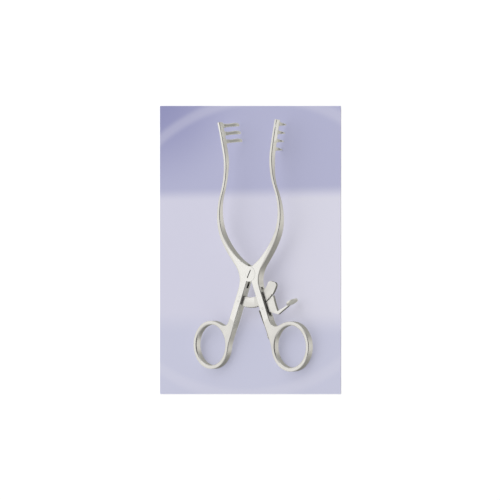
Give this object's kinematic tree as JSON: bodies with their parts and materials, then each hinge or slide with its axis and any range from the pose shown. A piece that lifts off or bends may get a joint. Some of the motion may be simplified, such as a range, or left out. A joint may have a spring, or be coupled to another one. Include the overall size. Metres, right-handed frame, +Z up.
{
  "type": "self retaining retractor",
  "caption": "Hinged steel retractor with ring handles, two bowed arms ending in rows of curved sharp prongs, and an arc-shaped ratchet with a sprung release lever.",
  "frame": {"origin": "middle of the bounding box at the level of the table that the instrument lies on, prongs down", "axes": "+Y towards the tips of the arms, +X towards the shank with the release lever, +Z up; the joint screw leans back from +Z by the small tilt at which prongs and rings touch the table"},
  "size_m": [0.0952, 0.1648, 0.0183],
  "materials": {
    "forged_steel": "satin matt stainless steel",
    "screw_steel": "turned stainless steel, polished flush",
    "bar_steel": "fine ground stainless steel",
    "spring_steel": "rolled spring steel"
  },
  "bodies": {
    "left_side": {"left_half": "forged_steel", "joint_screw": "screw_steel", "ratchet_bar": "bar_steel", "ratchet_rivets": "screw_steel"},
    "right_side": {"right_half": "forged_steel", "lever_pin": "screw_steel", "leaf_spring_screw": "screw_steel"},
    "lever": {"release_lever": "bar_steel"},
    "spring": {"leaf_spring": "spring_steel"}
  },
  "joints": [
    {"name": "arm_pivot", "type": "hinge", "parent": "left_side", "child": "right_side", "pos_m": [0, -0.01963, 0.00745], "axis": [0, -0.0794, 0.9968], "range_deg": [-33, 17]},
    {"name": "lever_release", "type": "hinge", "parent": "right_side", "child": "lever", "pos_m": [0.01124, -0.04214, 0.00565], "axis": [0, 0.0794, -0.9968], "range_deg": [0, 9], "stiffness_Nm_per_rad": 0.3},
    {"name": "spring_bend", "type": "hinge", "parent": "right_side", "child": "spring", "pos_m": [0.01501, -0.0598, 0.00424], "axis": [0, -0.0794, 0.9968], "range_deg": [0, 1.55]}
  ],
  "couplings": [
    {"joint": "spring_bend", "follows": "lever_release", "ratio": 0.1699}
  ]
}
